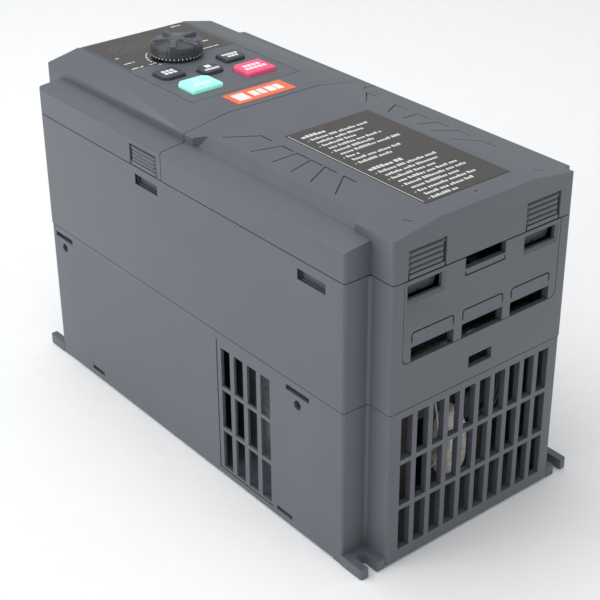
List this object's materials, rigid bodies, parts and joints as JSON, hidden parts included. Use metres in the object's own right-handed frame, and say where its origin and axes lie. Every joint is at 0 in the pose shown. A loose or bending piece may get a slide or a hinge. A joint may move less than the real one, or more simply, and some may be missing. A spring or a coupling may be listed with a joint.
{
  "type": "variable frequency drive",
  "caption": "Book-shaped motor drive in a plastic case with a keypad and knob, hinged terminal cover, vented ends and open mounting lugs.",
  "frame": {"origin": "centre of the back plane, where the four lug pads touch the wall", "axes": "+Z out of the front, +Y to the keypad end (up when it hangs on a wall), +X to the right seen from the front"},
  "size_m": [0.14, 0.28, 0.1848],
  "materials": {
    "case_plastic": "fine-textured moulding",
    "label_black": "satin film",
    "badge_orange": "satin",
    "keypad_plastic": "fine-textured moulding",
    "key_dark": "matte",
    "key_green": "satin",
    "key_red": "satin",
    "window_tint": "gloss film",
    "digits_black": "gloss",
    "knob_plastic": "satin",
    "board_green": "solder mask",
    "alloy": "extruded",
    "steel": "zinc plated",
    "dark_plastic": "moulded",
    "white_plastic": "moulded",
    "core_iron": "varnished laminations",
    "foil_wrap": "crumpled foil and tape",
    "brass": "plated",
    "sleeve_blue": "printed sleeve",
    "disc_blue": "epoxy coating",
    "tape_yellow": "tape",
    "terminal_green": "moulded",
    "ground_green": "painted",
    "ribbon_grey": "flat cable"
  },
  "bodies": {
    "case": {"lower_housing": "case_plastic", "middle_housing": "case_plastic", "upper_cover": "case_plastic", "cable_entry_plate": "case_plastic", "badge_plate": "badge_orange", "heat_sink": "alloy", "fan_frame": "dark_plastic", "fan_screws": "steel", "choke_core": "core_iron", "choke_winding": "foil_wrap", "power_module": "dark_plastic", "rectifier_bridge": "dark_plastic", "module_screws": "steel", "power_board": "board_green", "power_board_posts": "brass", "bus_capacitors": "sleeve_blue", "charge_relays": "dark_plastic", "current_sensors": "dark_plastic", "surge_varistors": "disc_blue", "switching_transformer": "tape_yellow", "main_terminal_block": "dark_plastic", "main_terminal_screws": "steel", "ground_bar": "steel", "ground_screws": "ground_green", "control_board": "board_green", "control_board_posts": "brass", "control_terminals": "terminal_green", "control_terminal_screws": "steel", "keypad_socket": "white_plastic", "ribbon_cable": "ribbon_grey", "board_screws": "steel", "case_screws": "steel"},
    "terminal_cover_body": {"terminal_cover": "case_plastic", "front_label": "label_black"},
    "cover_latch_left_body": {"cover_latch_left": "case_plastic"},
    "cover_latch_right_body": {"cover_latch_right": "case_plastic"},
    "front_latch_left_body": {"front_latch_left": "case_plastic"},
    "front_latch_right_body": {"front_latch_right": "case_plastic"},
    "keypad_body": {"keypad_case": "keypad_plastic", "display_window": "window_tint", "digit_display": "digits_black", "keypad_board": "board_green", "keypad_plug": "white_plastic", "encoder_body": "dark_plastic"},
    "program_key_body": {"program_key": "key_dark"},
    "shift_key_body": {"shift_key": "key_dark"},
    "jog_key_body": {"jog_key": "key_dark"},
    "run_key_body": {"run_key": "key_green"},
    "stop_key_body": {"stop_key": "key_red"},
    "encoder_plunger_body": {"encoder_plunger": "white_plastic"},
    "knob_body": {"navigation_knob": "knob_plastic", "knob_shaft": "steel"},
    "fan_rotor_body": {"fan_rotor": "dark_plastic"}
  },
  "joints": [
    {"name": "terminal_cover_hinge", "type": "hinge", "parent": "case", "child": "terminal_cover_body", "pos_m": [0, 0.01025, 0.175], "axis": [-1, 0, 0], "range_deg": [0, 60]},
    {"name": "cover_latch_left_press", "type": "hinge", "parent": "terminal_cover_body", "child": "cover_latch_left_body", "pos_m": [-0.036, -0.1385, 0.1621], "axis": [1, 0, 0], "range_deg": [0, 5], "stiffness_Nm_per_rad": 1.2, "springref_deg": -0.57},
    {"name": "cover_latch_right_press", "type": "hinge", "parent": "terminal_cover_body", "child": "cover_latch_right_body", "pos_m": [0.036, -0.1385, 0.1621], "axis": [1, 0, 0], "range_deg": [0, 5], "stiffness_Nm_per_rad": 1.2, "springref_deg": -0.57},
    {"name": "front_latch_left_press", "type": "hinge", "parent": "case", "child": "front_latch_left_body", "pos_m": [-0.0685, 0.026, 0.1593], "axis": [0, -1, 0], "range_deg": [0, 5], "stiffness_Nm_per_rad": 1.2, "springref_deg": -0.57},
    {"name": "front_latch_right_press", "type": "hinge", "parent": "case", "child": "front_latch_right_body", "pos_m": [0.0685, 0.026, 0.1593], "axis": [0, 1, 0], "range_deg": [0, 5], "stiffness_Nm_per_rad": 1.2, "springref_deg": -0.57},
    {"name": "keypad_slide", "type": "slide", "parent": "case", "child": "keypad_body", "axis": [0, 0, 1], "range_m": [0, 0.015]},
    {"name": "program_key_press", "type": "slide", "parent": "keypad_body", "child": "program_key_body", "axis": [0, 0, -1], "range_m": [0, 0.0008], "stiffness_N_per_m": 400, "springref_m": -0.0005},
    {"name": "shift_key_press", "type": "slide", "parent": "keypad_body", "child": "shift_key_body", "axis": [0, 0, -1], "range_m": [0, 0.0008], "stiffness_N_per_m": 400, "springref_m": -0.0005},
    {"name": "jog_key_press", "type": "slide", "parent": "keypad_body", "child": "jog_key_body", "axis": [0, 0, -1], "range_m": [0, 0.0008], "stiffness_N_per_m": 400, "springref_m": -0.0005},
    {"name": "run_key_press", "type": "slide", "parent": "keypad_body", "child": "run_key_body", "axis": [0, 0, -1], "range_m": [0, 0.0008], "stiffness_N_per_m": 400, "springref_m": -0.0005},
    {"name": "stop_key_press", "type": "slide", "parent": "keypad_body", "child": "stop_key_body", "axis": [0, 0, -1], "range_m": [0, 0.0008], "stiffness_N_per_m": 400, "springref_m": -0.0005},
    {"name": "knob_push", "type": "slide", "parent": "keypad_body", "child": "encoder_plunger_body", "axis": [0, 0, -1], "range_m": [0, 0.0006], "stiffness_N_per_m": 900, "springref_m": -0.0006},
    {"name": "knob_spin", "type": "hinge", "parent": "encoder_plunger_body", "child": "knob_body", "pos_m": [0, 0.0955, 0.178], "axis": [0, 0, 1], "continuous": true},
    {"name": "fan_spin", "type": "hinge", "parent": "case", "child": "fan_rotor_body", "pos_m": [0, 0.122, 0.044], "axis": [0, 1, 0], "continuous": true}
  ]
}
